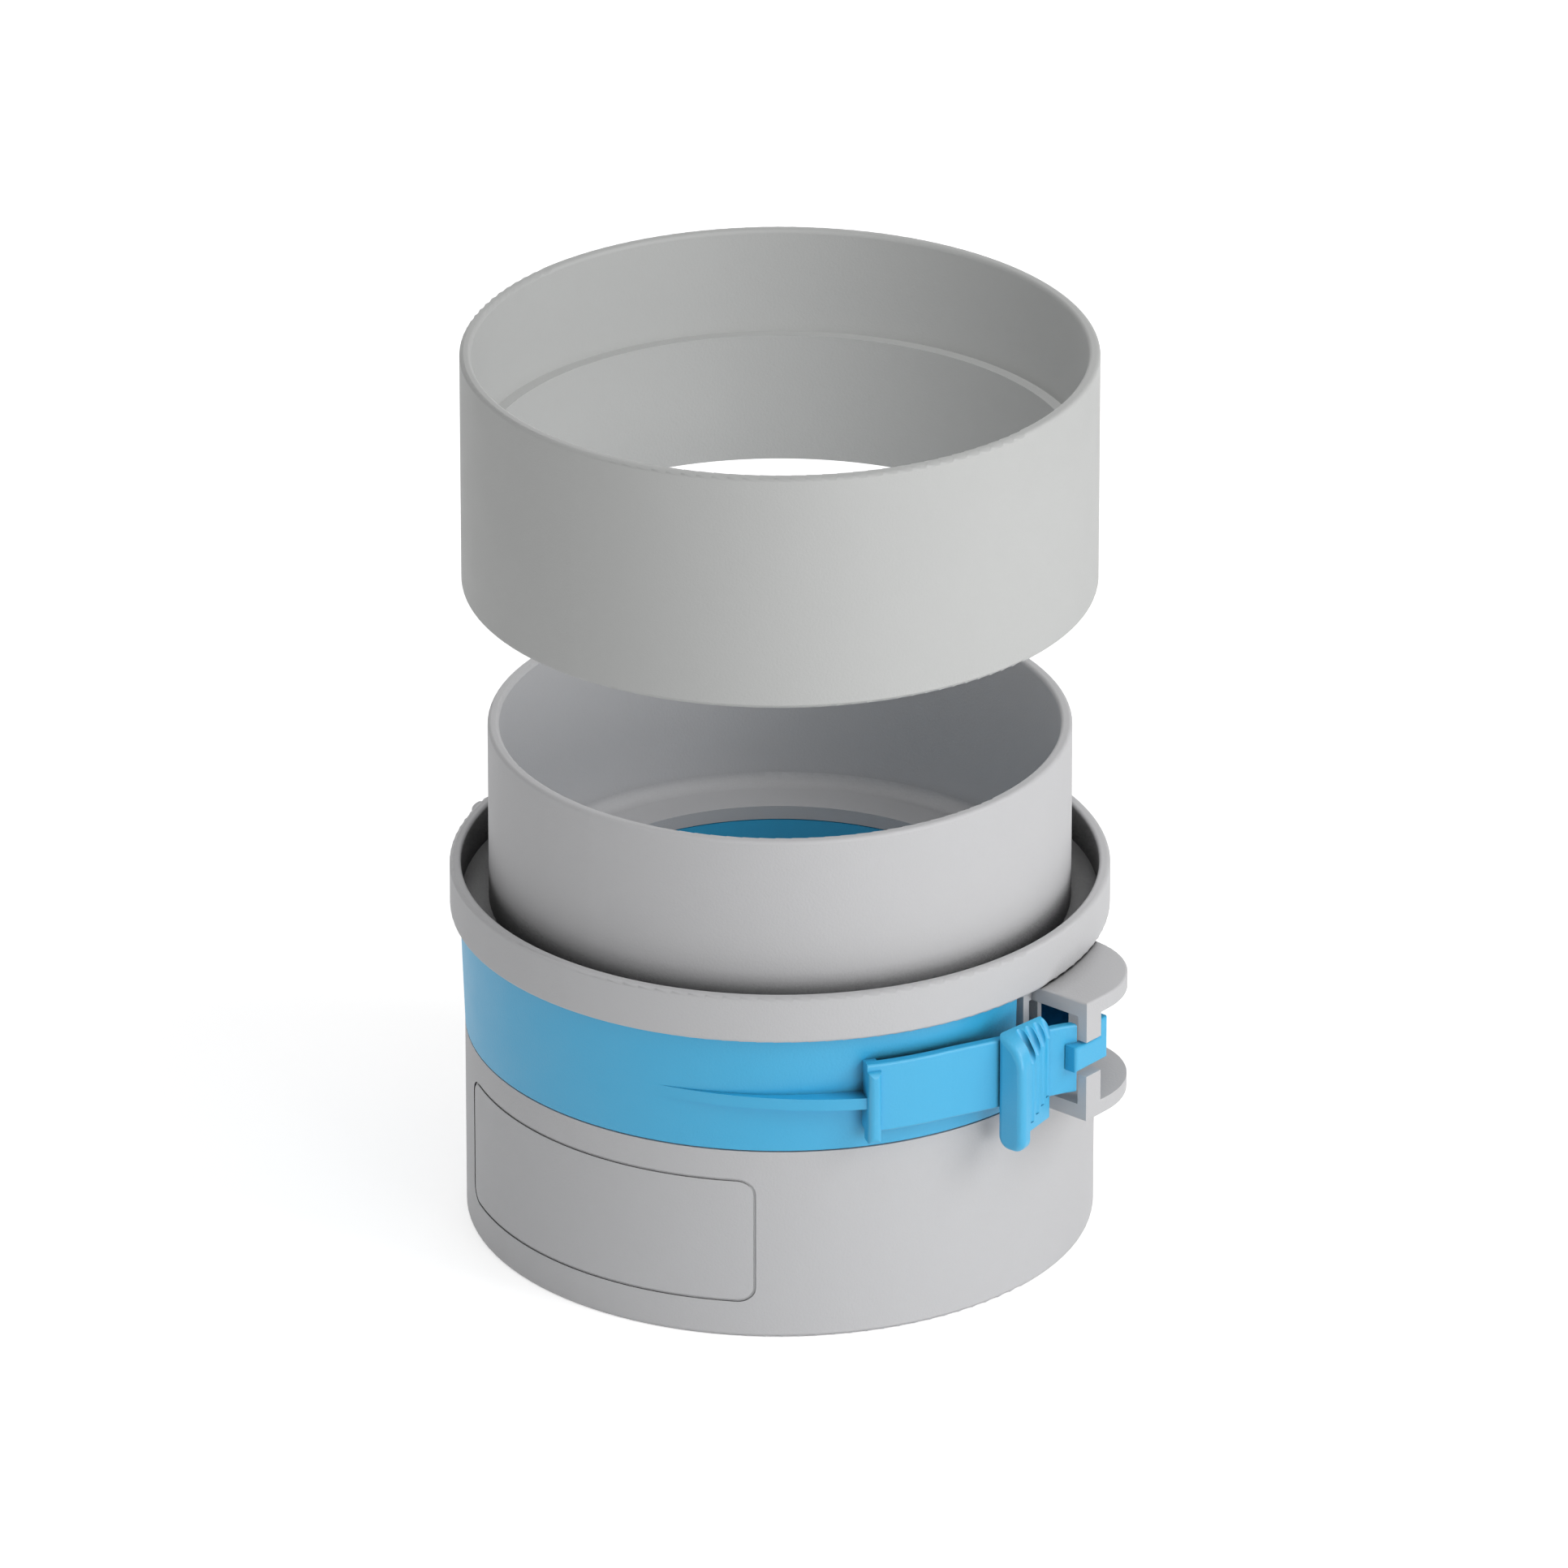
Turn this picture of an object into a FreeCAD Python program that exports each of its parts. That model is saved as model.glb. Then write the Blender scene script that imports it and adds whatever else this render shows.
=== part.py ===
import FreeCAD, Part
import math
import os

import Sketcher

# Downpipe mosquito screen: a grey pipe housing with a spigot on top and a socket below, a blue
# screen tray that slides out of its front slot, and a loose grey adapter ring for the spigot.
# Millimetres, +Z up along the pipe, z = 0 at the socket's rim, the tray comes out towards -Y.

SIZES = (
    ("pipe_outside", 110.0, "outside diameter of the plastic pipe in the socket and in the ring"),
    ("duct_outside", 101.0, "outside diameter of the sheet metal pipe in the spigot"),
    ("pipe_clearance", 0.3, "radial room for a pipe in its bore"),
    ("wall", 2.1, "wall of every moulded tube"),
    ("rim_round", 0.7, "rounding of the tube rims"),
    ("socket_depth", 34.8, "depth of the lower socket up to the pipe stop"),
    ("ledge", 2.4, "thickness of the pipe stop, which is the floor of the slot"),
    ("throat_radius", 41.0, "radius of the water way through stop, tray and deck"),
    ("slot_height", 20.2, "height of the slot between floor and deck"),
    ("slot_half_angle", 89.7, "the slot's half width, from the front, in degrees"),
    ("deck", 2.6, "thickness of the deck over the slot"),
    ("trough_floor", 2.0, "thickness of the trough's floor"),
    ("trough_depth", 7.0, "depth of the trough round the spigot"),
    ("trough_clearance", 0.5, "room round the ring in the trough"),
    ("spigot_height", 36.5, "height of the spigot above the deck"),
    ("spigot_foot_round", 2.4, "rounding where the bore meets the deck"),
    ("ear_thickness", 3.0, "thickness of the latch ears"),
    ("ear_front", 2.0, "the ears' straight front edge, behind the middle"),
    ("ear_stand", 12.8, "how far the ears' outer side stands out past the socket"),
    ("ear_side", 6.0, "length of the ears' straight outer side"),
    ("ear_depth", 22.0, "how far the ears reach back from their front edge"),
    ("lower_ear_drop", 0.7, "how far the lower ear hangs below the slot's floor"),
    ("ear_round", 0.4, "rounding of the ears' upper and lower outlines"),
    ("post_width", 2.0, "width of the latch posts"),
    ("post_length", 4.1, "length of the latch posts from the ears' front edge"),
    ("upper_post", 4.7, "how far the upper post hangs from its ear"),
    ("lower_post", 6.0, "how far the lower post stands on its ear"),
    ("first_rib_end", 91.3, "end of the wall's rib beside the slot, from the front, in degrees"),
    ("second_rib_start", 93.9, "start of the second rib, from the front, in degrees"),
    ("second_rib_end", 95.1, "end of the second rib, from the front, in degrees"),
    ("window_end", 111.0, "end of the window between the ears, from the front, in degrees"),
    ("window_margin", 3.0, "how far the window's outline passes the wall on both sides"),
    ("lug_radius", 5.5, "radius of the hinge's lugs round the pin"),
    ("hinge_front", 2.6, "how far the hinge pin stands ahead of the middle"),
    ("pin_radius", 1.8, "radius of the hinge pin"),
    ("pin_room", 0.25, "room between the pin and the tray's knuckle"),
    ("knuckle_wall", 2.3, "wall of the tray's knuckle"),
    ("knuckle_room", 0.5, "room above and below the knuckle"),
    ("knuckle_mouth", 3.0, "width of the mouth through which the knuckle snaps on the pin"),
    ("lug_root_front", 90.6, "front of the lugs' roots, from the front, in degrees"),
    ("lug_root_back", 101.0, "back of the lugs' roots, from the front, in degrees"),
    ("link_end", 1.0, "end of the link before the band's end, in degrees"),
    ("link_reach", 11.0, "how far along the band the knuckle's link is joined, in degrees"),
    ("link_low", 43.0, "height of the link's lower edge"),
    ("link_high", 54.0, "height of the link's upper edge"),
    ("panel_half_width", 33.5, "half width of the panel on the socket's front"),
    ("panel_low", 7.0, "height of the panel's lower edge"),
    ("panel_high", 31.6, "height of the panel's upper edge"),
    ("panel_corner", 3.0, "radius of the panel's corners"),
    ("panel_line", 0.5, "width of the panel's engraved line"),
    ("panel_line_depth", 0.3, "depth of the panel's engraved line"),
    ("tray_clearance", 0.2, "room above and below the tray"),
    ("tray_side_clearance", 0.7, "room between the tray's plate and the housing wall"),
    ("tray_plate", 2.2, "thickness of the tray's bottom plate"),
    ("tray_wall", 2.2, "thickness of the tray's inner wall"),
    ("band_half_angle", 87.0, "the band's half width, from the front, in degrees"),
    ("band_wall", 2.2, "thickness of the band"),
    ("band_flare", 0.8, "how far the band's top stands out past the socket"),
    ("band_gap", 0.3, "room above and below the band"),
    ("arm_gap", 2.1, "gap between the band and a latch arm"),
    ("arm_wall", 2.0, "thickness of a latch arm"),
    ("arm_low", 42.0, "height of the arm's lower edge"),
    ("arm_height", 13.5, "height of the arm from its lower to its upper edge"),
    ("arm_round", 0.5, "rounding of the arm's edges"),
    ("bar_angle", 55.9, "where the arm's root bar stands, from the front, in degrees"),
    ("bar_width", 2.5, "width of the root bar"),
    ("bar_stand", 1.3, "how far the root bar stands out past the arm"),
    ("bar_drop", 1.8, "how far the root bar's foot reaches below the arm"),
    ("bar_step", 1.3, "how far the root bar's head stays below the arm's upper edge"),
    ("bar_round", 1.1, "rounding of the root bar's nose"),
    ("bend_angle", 70.0, "where the arm leaves its circle, from the front, in degrees"),
    ("rib_middle", 47.8, "height of the front rib's middle"),
    ("rib_thickness", 2.2, "thickness of the front rib"),
    ("rib_radius", 68.2, "radius of the front rib's outer edge"),
    ("tab_front", 13.0, "front face of the finger tab, ahead of the middle"),
    ("tab_length", 9.8, "length of the finger tab"),
    ("tab_lip", 2.7, "length of the tab's lip, which reaches down to its tip"),
    ("tab_inset", 2.5, "how far the tab's outer face stays inside the ears' reach, at its front"),
    ("tab_width", 6.4, "thickness of the finger tab at its front"),
    ("tab_high", 56.6, "height of the tab's upper edge at its front"),
    ("tab_shoulder", 49.8, "height where the tab's front reaches its full thickness"),
    ("tab_back_inset", 4.0, "how far the tab's outer face stays inside that reach, at its back"),
    ("tab_back_width", 2.0, "thickness of the finger tab at its back"),
    ("tab_back_high", 58.0, "height of the tab's upper edge at its back"),
    ("tab_back_shoulder", 55.2, "height where the tab's back reaches its full thickness"),
    ("tab_back_low", 38.4, "height of the lower edge behind the lip"),
    ("lip_drop", 4.0, "how far the tab's tip reaches below that edge"),
    ("tip_flat", 0.4, "width of the flat between the roundings of the tab's tip"),
    ("tab_round", 1.2, "rounding of the tab's front edge"),
    ("tab_back_round", 0.7, "rounding of the tab's back edge"),
    ("flute_count", 4, "number of finger flutes"),
    ("flute_radius", 0.8, "radius of the finger flutes"),
    ("flute_pitch", 1.75, "distance between the finger flutes"),
    ("flute_start", 3.6, "middle of the first flute behind the tab's front"),
    ("flute_lean", 39.0, "lean of the flutes over the shoulder at the tab's front, in degrees"),
    ("flute_back_lean", 22.0, "that lean at the tab's back, in degrees"),
    ("flute_depth", 0.25, "depth of the flutes in the tab's face"),
    ("flute_shoulder_depth", 0.45, "depth of the flutes at the shoulder"),
    ("flute_length", 24.0, "length of the flutes"),
    ("cut_over", 1.0, "how far a cut starts outside the shape that it cuts"),
    ("jog_start", 0.2, "where the arm steps out towards the posts, ahead of the middle"),
    ("jog", 1.1, "how far the arm steps out there"),
    ("post_gap", 0.3, "room in front of the posts and beside them"),
    ("neck_front", 0.4, "front of the neck, ahead of the middle"),
    ("neck_height", 4.9, "height of the neck from its lower to its upper edge"),
    ("neck_room", 0.4, "room between the neck and the upper post"),
    ("prong_length", 2.2, "length of the prong behind the posts"),
    ("prong_room", 1.8, "room between the prong and the upper ear"),
    ("prong_inset", 0.4, "how far the prong stays inside the ears' outer side"),
    ("prong_round", 0.6, "rounding of the neck's and the prong's edges"),
    ("mesh_seat", 1.6, "depth of the groove that holds the mesh"),
    ("mesh_groove", 1.0, "height of that groove"),
    ("mesh_sheet", 0.8, "thickness of the woven mesh"),
    ("mesh_room", 0.1, "room round the mesh in its groove"),
    ("mesh_pitch", 7.6, "distance between the mesh bars"),
    ("mesh_bar", 1.2, "width of a mesh bar"),
    ("ring_height", 44.5, "height of the adapter ring"),
    ("ring_ledge", 24.5, "height of the pipe stop inside the ring"),
    ("ring_fit", 0.25, "radial room between the ring and the spigot"),
    ("ring_lift", 62.5, "how far the ring is held above its seat"),
)

doc = FreeCAD.newDocument("downpipe_screen")
sheet = doc.addObject("Spreadsheet::Sheet", "sizes")
for row, (alias, number, meaning) in enumerate(SIZES, start=1):
    sheet.set(f"A{row}", meaning)
    sheet.set(f"B{row}", str(number))
    sheet.setAlias(f"B{row}", alias)
doc.recompute()

# Radii that follow from the pipes
socket_r = "(sizes.pipe_outside / 2 + sizes.pipe_clearance)"
body_r = f"({socket_r} + sizes.wall)"
spigot_bore_r = "(sizes.duct_outside / 2 + sizes.pipe_clearance)"
spigot_r = f"({spigot_bore_r} + sizes.wall)"
trough_r = f"({body_r} + sizes.trough_clearance)"
flange_r = f"({trough_r} + sizes.wall)"

# Levels from the socket's rim upwards
slot_floor = "(sizes.socket_depth + sizes.ledge)"
slot_top = f"({slot_floor} + sizes.slot_height)"
deck_top = f"({slot_top} + sizes.deck)"
trough_low = f"({deck_top} + sizes.trough_floor)"
flange_top = f"({trough_low} + sizes.trough_depth)"
spigot_top = f"({deck_top} + sizes.spigot_height)"
lower_ear_low = f"({slot_floor} - sizes.lower_ear_drop)"
lower_ear_top = f"({lower_ear_low} + sizes.ear_thickness)"
upper_ear_low = f"({deck_top} - sizes.ear_thickness)"
upper_post_low = f"({upper_ear_low} - sizes.upper_post)"

# The ears' reach, and the hinge on the other side, which reaches as far
ear_reach = f"({body_r} + sizes.ear_stand)"
lug_r = "sizes.lug_radius"
hinge_x = f"-({ear_reach} - {lug_r})"
hinge_y = "-sizes.hinge_front"
bore_r = "(sizes.pin_radius + sizes.pin_room)"
knuckle_r = f"({bore_r} + sizes.knuckle_wall)"
knuckle_low = f"({lower_ear_top} + sizes.knuckle_room)"
knuckle_high = f"({upper_ear_low} - sizes.knuckle_room)"

# The tray and its band
tray_low = f"({slot_floor} + sizes.tray_clearance)"
tray_top = f"({slot_top} - sizes.tray_clearance)"
plate_top = f"({tray_low} + sizes.tray_plate)"
plate_r = f"({socket_r} - sizes.tray_side_clearance)"
band_in_r = f"({body_r} - sizes.band_wall)"
band_low = f"({slot_floor} + sizes.band_gap)"
band_top = f"({deck_top} - sizes.band_gap)"
deck_front_r = f"({band_in_r} - sizes.band_gap)"
arm_in_r = f"({body_r} + sizes.arm_gap)"
arm_out_r = f"({arm_in_r} + sizes.arm_wall)"
arm_high = "(sizes.arm_low + sizes.arm_height)"
bar_low = "(sizes.arm_low - sizes.bar_drop)"
bar_high = f"({arm_high} - sizes.bar_step)"
neck_high = f"({upper_post_low} - sizes.neck_room)"
neck_low = f"({neck_high} - sizes.neck_height)"
tab_low = "(sizes.tab_back_low - sizes.lip_drop)"
arm_end = f"({ear_reach} - sizes.post_width)"
jog_outside = f"({arm_end} - sizes.jog)"
tab_outside = f"({ear_reach} - sizes.tab_inset)"
tab_inside = f"({tab_outside} - sizes.tab_width)"
tab_back_outside = f"({ear_reach} - sizes.tab_back_inset)"
tab_back_inside = f"({tab_back_outside} - sizes.tab_back_width)"
mesh_floor = f"({tray_low} + (sizes.tray_plate - sizes.mesh_groove) / 2)"
mesh_seat_r = "(sizes.throat_radius + sizes.mesh_seat)"
mesh_r = f"({mesh_seat_r} - sizes.mesh_room)"


def value(expression):
    """The number that an expression of the sheet gives now."""
    return float(sheet.evalExpression(expression.replace("sizes.", "")))


def polar(radius, angle):
    """A point at a radius and at an angle from the front, as a pair of expressions."""
    return f"{radius} * sin({angle} * 1deg)", f"-({radius} * cos({angle} * 1deg))"


def new_body(label):
    body = doc.addObject("PartDesign::Body", label)
    body.Label = label
    return body


def origin_part(body, role):
    return next(part for part in body.Origin.OriginFeatures if part.Role == role)


def rounded(corners):
    """Splits each rounded corner of a right-angled outline into the two ends of its arc."""
    points = []
    for at, (x, y, *radius) in enumerate(corners):
        if not radius:
            points.append((x, y, None))
            continue
        before = corners[at - 1]
        after = corners[(at + 1) % len(corners)]
        ends = []
        for other in (before, after):
            dx = value(other[0]) - value(x)
            dy = value(other[1]) - value(y)
            if abs(dx) > abs(dy):
                ends.append((f"{x} {'+' if dx > 0 else '-'} {radius[0]}", y))
            else:
                ends.append((x, f"{y} {'+' if dy > 0 else '-'} {radius[0]}"))
        into = (value(x) - value(before[0]), value(y) - value(before[1]))
        out = (value(after[0]) - value(x), value(after[1]) - value(y))
        turn = into[0] * out[1] - into[1] * out[0]
        points.append((*ends[0], radius[0] if turn > 0 else f"-{radius[0]}"))
        points.append((*ends[1], None))
    return points


def arc_between(start, end, radius):
    """A short arc from start to end, counter-clockwise for a positive radius."""
    size = abs(radius)
    chord = math.hypot(end[0] - start[0], end[1] - start[1])
    rise = math.sqrt(size**2 - (chord / 2) ** 2)
    side = 1 if radius > 0 else -1
    across = (-(end[1] - start[1]) / chord, (end[0] - start[0]) / chord)
    centre = [(start[i] + end[i]) / 2 + side * rise * across[i] for i in (0, 1)]
    circle = Part.Circle(FreeCAD.Vector(*centre, 0), FreeCAD.Vector(0, 0, 1), size)
    first, last = (start, end) if radius > 0 else (end, start)
    angles = [math.atan2(p[1] - centre[1], p[0] - centre[0]) for p in (first, last)]
    return Part.ArcOfCircle(circle, *angles)


def add_outline(sketch, points):
    """Draws a closed outline. A point is two expressions and the radius of the arc leaving it."""
    first = sketch.GeometryCount
    places = [(value(x), value(y)) for x, y, _ in points]
    leaving = []
    arriving = []
    for at, (start, point) in enumerate(zip(places, points)):
        end = places[(at + 1) % len(places)]
        radius = point[2]
        if radius is None:
            line = Part.LineSegment(FreeCAD.Vector(*start, 0), FreeCAD.Vector(*end, 0))
            sketch.addGeometry(line)
        else:
            sketch.addGeometry(arc_between(start, end, value(radius)))
        forward = radius is None or value(radius) > 0
        leaving.append(1 if forward else 2)
        arriving.append(2 if forward else 1)
    for at, (x, y, radius) in enumerate(points):
        edge = first + at
        last_edge = first + (at - 1) % len(points)
        sketch.addConstraint(
            Sketcher.Constraint("Coincident", last_edge, arriving[at - 1], edge, leaving[at])
        )
        for kind, size in (("DistanceX", x), ("DistanceY", y)):
            number = sketch.addConstraint(
                Sketcher.Constraint(kind, -1, 1, edge, leaving[at], value(size))
            )
            sketch.setExpression(f"Constraints[{number}]", size)
        if radius is not None:
            number = sketch.addConstraint(
                Sketcher.Constraint("Radius", edge, abs(value(radius)))
            )
            sketch.setExpression(f"Constraints[{number}]", radius.lstrip("-"))


def new_sketch(body, name, plane, *outlines):
    sketch = body.newObject("Sketcher::SketchObject", name)
    sketch.AttachmentSupport = (origin_part(body, plane), [""])
    sketch.MapMode = "FlatFace"
    for corners in outlines:
        add_outline(sketch, corners)
    sketch.Visibility = False
    return sketch


def turned(body, name, corners, half_angle=None, cut=False):
    """Revolves a section of (radius, height) corners about the pipe's axis, at the front."""
    section = [(f"-({r})", z, *more) for r, z, *more in corners]
    sketch = new_sketch(body, name + "_section", "YZ_Plane", rounded(section))
    feature = body.newObject("PartDesign::Groove" if cut else "PartDesign::Revolution", name)
    feature.Profile = sketch
    feature.ReferenceAxis = (sketch, ["V_Axis"])
    if half_angle is None:
        feature.Angle = 360
    else:
        feature.Midplane = True
        feature.setExpression("Angle", f"2 * {half_angle}")
    return feature


def block(body, name, low, high, *outlines, cut=False):
    """Pads or cuts plan outlines between two levels."""
    sketch = new_sketch(body, name + "_plan", "XY_Plane", *outlines)
    sketch.setExpression("AttachmentOffset.Base.z", low)
    feature = body.newObject("PartDesign::Pocket" if cut else "PartDesign::Pad", name)
    feature.Profile = sketch
    feature.setExpression("Length", f"{high} - {low}")
    feature.Reversed = cut
    return feature


def soften(body, name, radius, chosen):
    """Rounds the edges of a body's last feature that a test picks, each by its edge."""
    doc.recompute()
    base = body.Tip
    names = [f"Edge{at}" for at, edge in enumerate(base.Shape.Edges, start=1) if chosen(edge)]
    feature = body.newObject("PartDesign::Fillet", name)
    feature.Base = (base, names)
    feature.setExpression("Radius", radius)
    return feature


def corner(x, y, radius=None):
    return (x, y, radius)


def box_corners(x_low, x_high, y_low, y_high):
    return [corner(x_low, y_low), corner(x_high, y_low), corner(x_high, y_high), corner(x_low, y_high)]


def make_shell():
    """Socket, slot, deck, trough and spigot, turned as one section, with the slot cut out."""
    body = new_body("shell")
    soft = "sizes.rim_round"
    turned(
        body,
        "tubes",
        [
            (socket_r, "0"),
            (body_r, "0", soft),
            (body_r, deck_top),
            (flange_r, deck_top, soft),
            (flange_r, flange_top, soft),
            (trough_r, flange_top, soft),
            (trough_r, trough_low),
            (spigot_r, trough_low),
            (spigot_r, spigot_top, soft),
            (spigot_bore_r, spigot_top, soft),
            (spigot_bore_r, deck_top, "sizes.spigot_foot_round"),
            ("sizes.throat_radius", deck_top),
            ("sizes.throat_radius", slot_top),
            (socket_r, slot_top),
            (socket_r, slot_floor),
            ("sizes.throat_radius", slot_floor),
            ("sizes.throat_radius", "sizes.socket_depth"),
            (socket_r, "sizes.socket_depth"),
        ],
    )
    turned(
        body,
        "slot",
        [
            (deck_front_r, slot_floor),
            (flange_r, slot_floor),
            (flange_r, deck_top),
            (deck_front_r, deck_top),
        ],
        "sizes.slot_half_angle",
        cut=True,
    )
    windows = (
        ("sizes.first_rib_end", "sizes.second_rib_start"),
        ("sizes.second_rib_end", "sizes.window_end"),
    )
    inside = f"({socket_r} - sizes.window_margin)"
    outside = f"({body_r} + sizes.window_margin)"
    outlines = [
        [
            corner(*polar(inside, first)),
            corner(*polar(outside, first)),
            corner(*polar(outside, last)),
            corner(*polar(inside, last)),
        ]
        for first, last in windows
    ]
    block(body, "windows", lower_ear_top, upper_ear_low, *outlines, cut=True)
    return body


def make_ears():
    """The pair of latch ears, each a rounded plate with a post at its outer front corner."""
    body = new_body("ears")
    root_r = f"({socket_r} + sizes.wall / 2)"
    ear_back = "(sizes.ear_front + sizes.ear_depth)"
    side_end = "(sizes.ear_front + sizes.ear_side)"
    sweep = f"({ear_back} - {side_end})"
    root_front = f"sqrt({root_r} ^ 2 - sizes.ear_front ^ 2)"
    root_back = f"sqrt({root_r} ^ 2 - {ear_back} ^ 2)"
    plate = [
        corner(root_front, "sizes.ear_front"),
        corner(ear_reach, "sizes.ear_front"),
        corner(ear_reach, side_end, sweep),
        corner(f"{ear_reach} - {sweep}", ear_back),
        corner(root_back, ear_back, f"-{root_r}"),
    ]
    post = box_corners(
        f"{ear_reach} - sizes.post_width",
        ear_reach,
        "sizes.ear_front",
        "sizes.ear_front + sizes.post_length",
    )
    block(body, "lower_ear", lower_ear_low, lower_ear_top, plate)
    block(body, "lower_post", lower_ear_top, f"{lower_ear_top} + sizes.lower_post", post)
    block(body, "upper_post", upper_post_low, upper_ear_low, post)
    block(body, "upper_ear", upper_ear_low, deck_top, plate)
    outside = value(flange_r)
    near = value("sizes.ear_round") / 4

    def outer_outline(edge):
        box = edge.BoundBox
        heights = (value(lower_ear_low), value(deck_top))
        level = min(max(abs(box.ZMin - z), abs(box.ZMax - z)) for z in heights)
        return level < near and box.XMax > outside

    soften(body, "soft_ears", "sizes.ear_round", outer_outline)
    return body


def disc(x, y, radius):
    """A circle as four quarter arcs."""
    return [
        (f"{x} + {radius}", y, radius),
        (x, f"{y} + {radius}", radius),
        (f"{x} - {radius}", y, radius),
        (x, f"{y} - {radius}", radius),
    ]


def make_hinge():
    """The two lugs of the left side and the pin between them."""
    body = new_body("hinge")
    root_r = f"({socket_r} + sizes.wall / 2)"
    lug = [
        (hinge_x, f"{hinge_y} - {lug_r}", lug_r),
        corner(f"{hinge_x} + {lug_r}", hinge_y),
        corner(*polar(root_r, "-sizes.lug_root_front")),
        corner(*polar(root_r, "-sizes.lug_root_back")),
        (f"{hinge_x} - {lug_r}", hinge_y, lug_r),
    ]
    block(body, "lower_lug", lower_ear_low, lower_ear_top, lug)
    block(body, "pin", lower_ear_top, upper_ear_low, disc(hinge_x, hinge_y, "sizes.pin_radius"))
    block(body, "upper_lug", upper_ear_low, deck_top, lug)
    return body


def make_knuckle():
    """The tray's end of the hinge: an open knuckle on the pin, and its link to the band."""
    body = new_body("knuckle")
    band_middle_r = f"({body_r} - sizes.band_wall / 2)"
    link = [
        corner(hinge_x, f"{hinge_y} - {knuckle_r}"),
        corner(*polar(band_middle_r, "(sizes.link_reach - sizes.band_half_angle)")),
        corner(*polar(band_middle_r, "(sizes.link_end - sizes.band_half_angle)")),
        corner(hinge_x, hinge_y),
    ]
    block(body, "link", "sizes.link_low", "sizes.link_high", link)
    block(body, "sleeve", knuckle_low, knuckle_high, disc(hinge_x, hinge_y, knuckle_r))
    mouth = box_corners(
        f"{hinge_x} - {knuckle_r} - sizes.cut_over",
        hinge_x,
        f"{hinge_y} - sizes.knuckle_mouth / 2",
        f"{hinge_y} + sizes.knuckle_mouth / 2",
    )
    block(body, "bore", knuckle_low, knuckle_high, disc(hinge_x, hinge_y, bore_r), cut=True)
    block(body, "mouth", knuckle_low, knuckle_high, mouth, cut=True)
    return body


def slab(body, name, front, length, *outlines):
    """Pads upright outlines of (across, height) from a distance ahead of the middle backwards."""
    sketch = new_sketch(body, name + "_outline", "XZ_Plane", *outlines)
    sketch.setExpression("AttachmentOffset.Base.z", front)
    feature = body.newObject("PartDesign::Pad", name)
    feature.Profile = sketch
    feature.setExpression("Length", length)
    feature.Reversed = True
    return feature


def row_of(body, name, feature, role, count, pitch):
    """Repeats a feature along an axis of its body."""
    pattern = body.newObject("PartDesign::LinearPattern", name)
    pattern.Originals = [feature]
    pattern.Direction = (origin_part(body, role), [""])
    pattern.setExpression("Occurrences", count)
    pattern.setExpression("Length", f"({count} - 1) * {pitch}")
    body.Tip = pattern
    return pattern


def make_panel_line():
    """The engraved outline of the panel, as the sliver that it takes out of the socket's wall."""
    body = new_body("panel_line")
    line = "sizes.panel_line"
    outer = [
        ("-sizes.panel_half_width", "sizes.panel_low", "sizes.panel_corner"),
        ("sizes.panel_half_width", "sizes.panel_low", "sizes.panel_corner"),
        ("sizes.panel_half_width", "sizes.panel_high", "sizes.panel_corner"),
        ("-sizes.panel_half_width", "sizes.panel_high", "sizes.panel_corner"),
    ]
    soft = f"(sizes.panel_corner - {line})"
    inner = [
        (f"-(sizes.panel_half_width - {line})", f"sizes.panel_low + {line}", soft),
        (f"sizes.panel_half_width - {line}", f"sizes.panel_low + {line}", soft),
        (f"sizes.panel_half_width - {line}", f"sizes.panel_high - {line}", soft),
        (f"-(sizes.panel_half_width - {line})", f"sizes.panel_high - {line}", soft),
    ]
    slab(body, "frame", flange_r, flange_r, rounded(outer), rounded(inner))
    core = f"({body_r} - sizes.panel_line_depth)"
    turned(
        body,
        "core",
        [("0", "0"), (core, "0"), (core, slot_floor), ("0", slot_floor)],
        cut=True,
    )
    return body


def make_housing():
    moulding = doc.addObject("Part::MultiFuse", "moulding")
    moulding.Shapes = [make_shell(), make_ears(), make_hinge()]
    moulding.Refine = True
    housing = doc.addObject("Part::Cut", "housing")
    housing.Base = moulding
    housing.Tool = make_panel_line()
    return housing


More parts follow.
